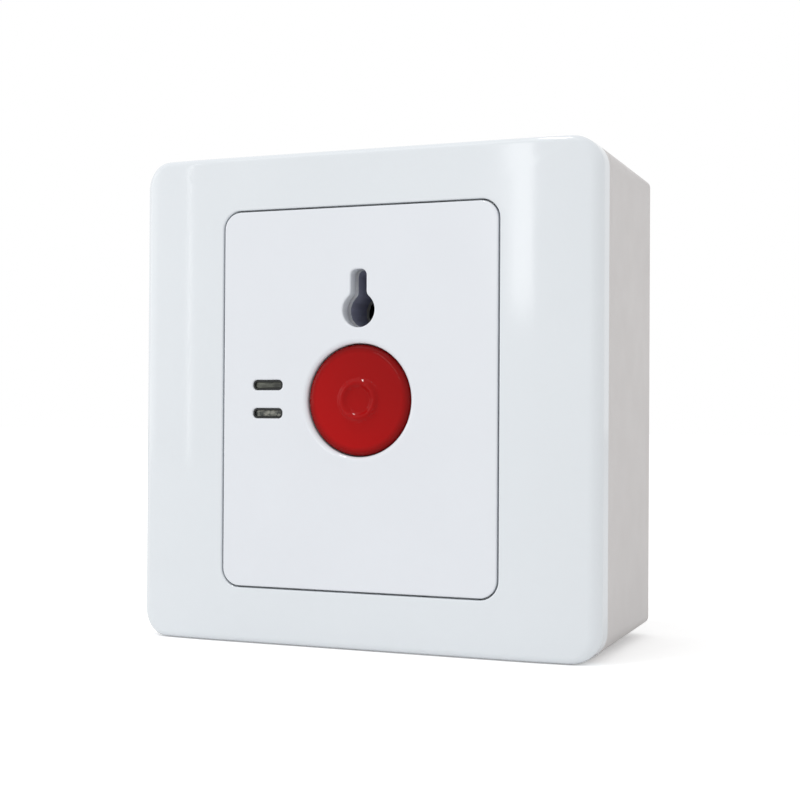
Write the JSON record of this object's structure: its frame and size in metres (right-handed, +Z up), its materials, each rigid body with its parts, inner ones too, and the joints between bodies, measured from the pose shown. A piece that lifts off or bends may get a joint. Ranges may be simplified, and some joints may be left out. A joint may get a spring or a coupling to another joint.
{
  "type": "one-button alarm station",
  "caption": "Square surface-mounted alarm station: round red latching button, key slot for its reset, two signal windows, clip-on frame and tapered box.",
  "frame": {"origin": "centre of the box's back face, which lies against the wall", "axes": "+Z up, +Y into the wall, so the button faces -Y, and +X to the right of a person who faces it"},
  "size_m": [0.086, 0.0421, 0.086],
  "materials": {
    "frame_white": "polished cool-white moulding",
    "panel_white": "polished cool-white moulding",
    "box_white": "satin off-white moulding",
    "button_red": "deep red moulding, soft gloss",
    "natural_plastic": "uncoloured moulding",
    "case_white": "uncoloured moulding",
    "base_black": "black moulding",
    "spring_steel": "drawn wire",
    "plated_steel": "zinc plated",
    "brass": "stamped strip",
    "board_green": "solder mask",
    "light_lens": "clear resin",
    "resistor_black": "glazed",
    "sleeve_red": "soft sleeve",
    "sleeve_black": "soft sleeve"
  },
  "bodies": {
    "housing": {"back_box": "box_white", "front_frame": "frame_white", "function_panel": "panel_white", "mounting_bracket": "natural_plastic", "mechanism_case": "case_white", "contact_base": "base_black", "guide_plate": "natural_plastic", "return_spring": "spring_steel", "latch_spring": "spring_steel", "closing_contact_left": "brass", "closing_contact_right": "brass", "opening_contact_left": "brass", "opening_contact_right": "brass", "signal_contact_left": "brass", "signal_contact_right": "brass", "terminal_screw_1": "plated_steel", "terminal_screw_2": "plated_steel", "terminal_screw_3": "plated_steel", "terminal_screw_4": "plated_steel", "terminal_screw_5": "plated_steel", "terminal_screw_6": "plated_steel", "signal_board": "board_green", "signal_light_upper": "light_lens", "signal_light_lower": "light_lens", "resistor_upper": "resistor_black", "resistor_lower": "resistor_black", "signal_lead_red": "sleeve_red", "signal_lead_black": "sleeve_black", "mounting_screw_left": "plated_steel", "mounting_screw_right": "plated_steel", "case_screw_lower_left": "plated_steel", "case_screw_lower_right": "plated_steel", "case_screw_upper_left": "plated_steel", "case_screw_upper_right": "plated_steel", "base_screw_lower_left": "plated_steel", "base_screw_lower_right": "plated_steel", "base_screw_upper_left": "plated_steel", "base_screw_upper_right": "plated_steel"},
    "button": {"button_cap": "button_red", "plunger": "natural_plastic", "contact_bridge": "brass", "bridge_clip": "plated_steel"},
    "latch": {"latch_plate": "plated_steel"}
  },
  "joints": [
    {"name": "button_press", "type": "slide", "parent": "housing", "child": "button", "axis": [0, 1, 0], "range_m": [0, 0.003], "stiffness_N_per_m": 400, "springref_m": -0.004, "deforming": ["return_spring"]},
    {"name": "latch_release", "type": "slide", "parent": "housing", "child": "latch", "axis": [1, 0, 0], "range_m": [0, 0.0012], "stiffness_N_per_m": 300, "springref_m": -0.003, "deforming": ["latch_spring"]}
  ]
}
